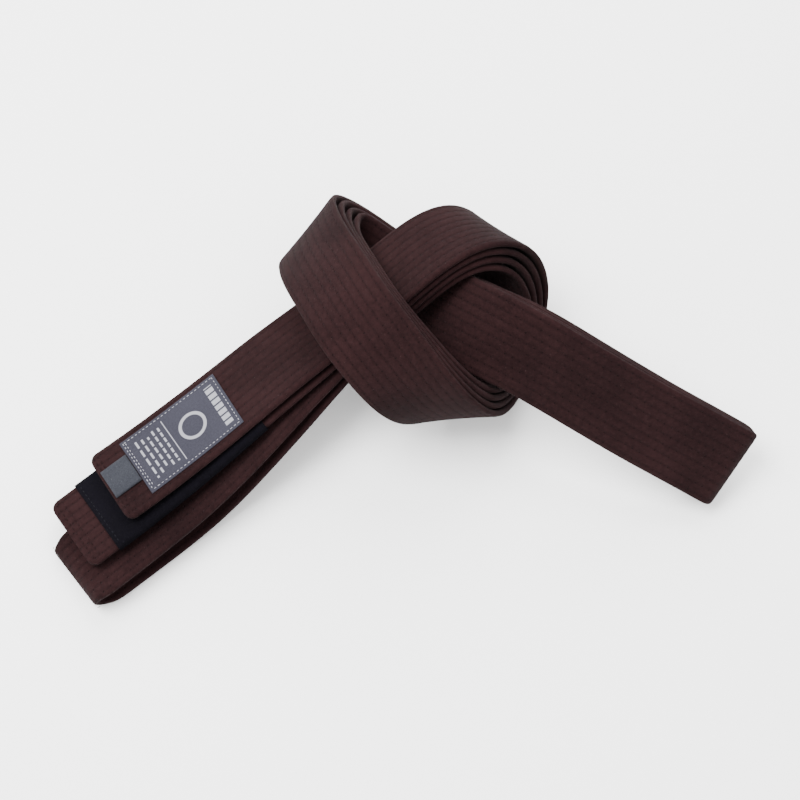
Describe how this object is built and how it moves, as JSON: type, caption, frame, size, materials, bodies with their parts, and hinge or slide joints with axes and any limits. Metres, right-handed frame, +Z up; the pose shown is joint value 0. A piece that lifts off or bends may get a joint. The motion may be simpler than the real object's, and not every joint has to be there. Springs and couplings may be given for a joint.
{
  "type": "martial arts belt",
  "caption": "Long padded cotton belt with lengthwise stitching, folded in four and tied in one overhand knot, with a dark sleeve near one end and a woven label at the other.",
  "frame": {"origin": "centre of the bounding box's footprint, on the table", "axes": "+X from the loose-ended left arm to the folded right arm, +Z up off the table, +Y away from the viewer"},
  "size_m": [0.3232, 0.1906, 0.0835],
  "materials": {
    "brown_cotton": "matte",
    "core_cotton": "matte",
    "black_cotton": "matte",
    "black_thread": "matte",
    "label_weave": "matte",
    "pale_thread": "matte",
    "brown_thread": "matte",
    "tag_tape": "matte"
  },
  "bodies": {
    "belt": {"belt_cover": "brown_cotton", "core_ply_1": "core_cotton", "core_ply_2": "core_cotton", "core_ply_3": "core_cotton", "rank_sleeve": "black_cotton", "sleeve_thread_tip": "black_thread", "sleeve_thread_inner": "black_thread", "woven_label": "label_weave", "label_thread": "pale_thread", "tip_thread_label_end": "brown_thread", "tip_thread_sleeve_end": "brown_thread"},
    "tag": {"size_tag": "tag_tape"}
  },
  "joints": [
    {"name": "tag_lift", "type": "hinge", "parent": "belt", "child": "tag", "pos_m": [-0.1216, -0.03361, 0.02399], "axis": [-0.5476, 0.8046, -0.2296], "range_deg": [0, 85]}
  ]
}
